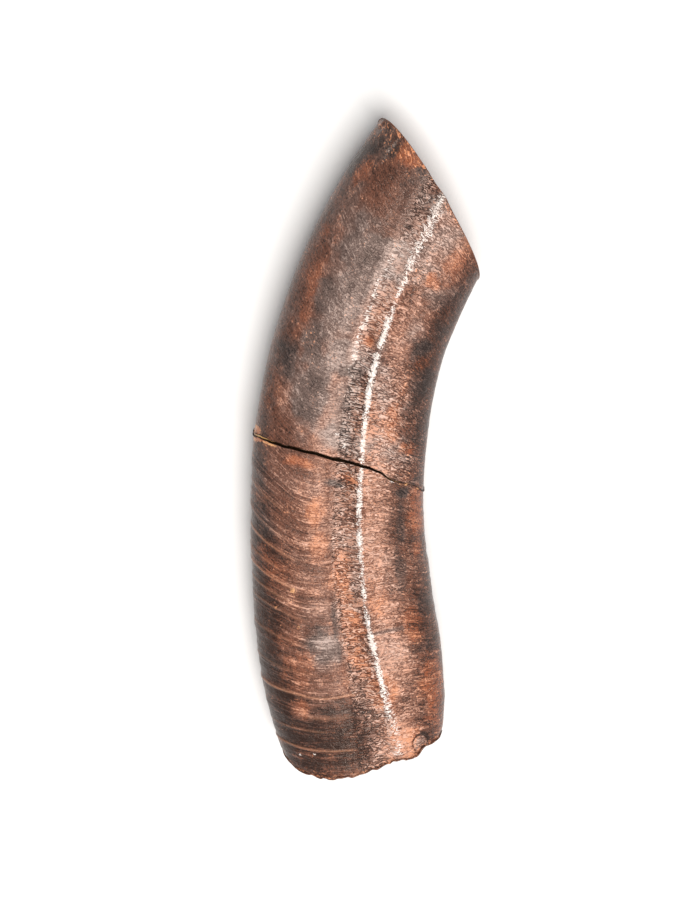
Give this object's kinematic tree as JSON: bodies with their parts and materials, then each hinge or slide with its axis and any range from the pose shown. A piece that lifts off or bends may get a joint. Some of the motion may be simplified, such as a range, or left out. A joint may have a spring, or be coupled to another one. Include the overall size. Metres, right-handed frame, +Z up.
{
  "type": "fossil sloth tooth",
  "caption": "Curved fossil tooth of a giant ground sloth: a flattened ridged column with growth lines, an open root, a slanting wear face and a glued break across the middle.",
  "frame": {"origin": "on the surface that the tooth lies on, under the middle of the tooth's box in plan", "axes": "+Y along the tooth from the open root to the worn crown, +X towards the concave side that the crown bends to, +Z up out of the ridged side"},
  "size_m": [0.0414, 0.1224, 0.0169],
  "materials": {
    "fossil_crown": "waxy mineralised dentine, dark grey-brown with rust-coloured stains and fine growth lines",
    "fossil_root": "waxy mineralised dentine, dark brown with rust and grey-black stains and strong transverse growth lines",
    "glue": "hardened clear amber repair glue"
  },
  "bodies": {
    "root": {"crown_fragment": "fossil_crown", "root_fragment": "fossil_root", "glue_seam": "glue"}
  },
  "joints": []
}
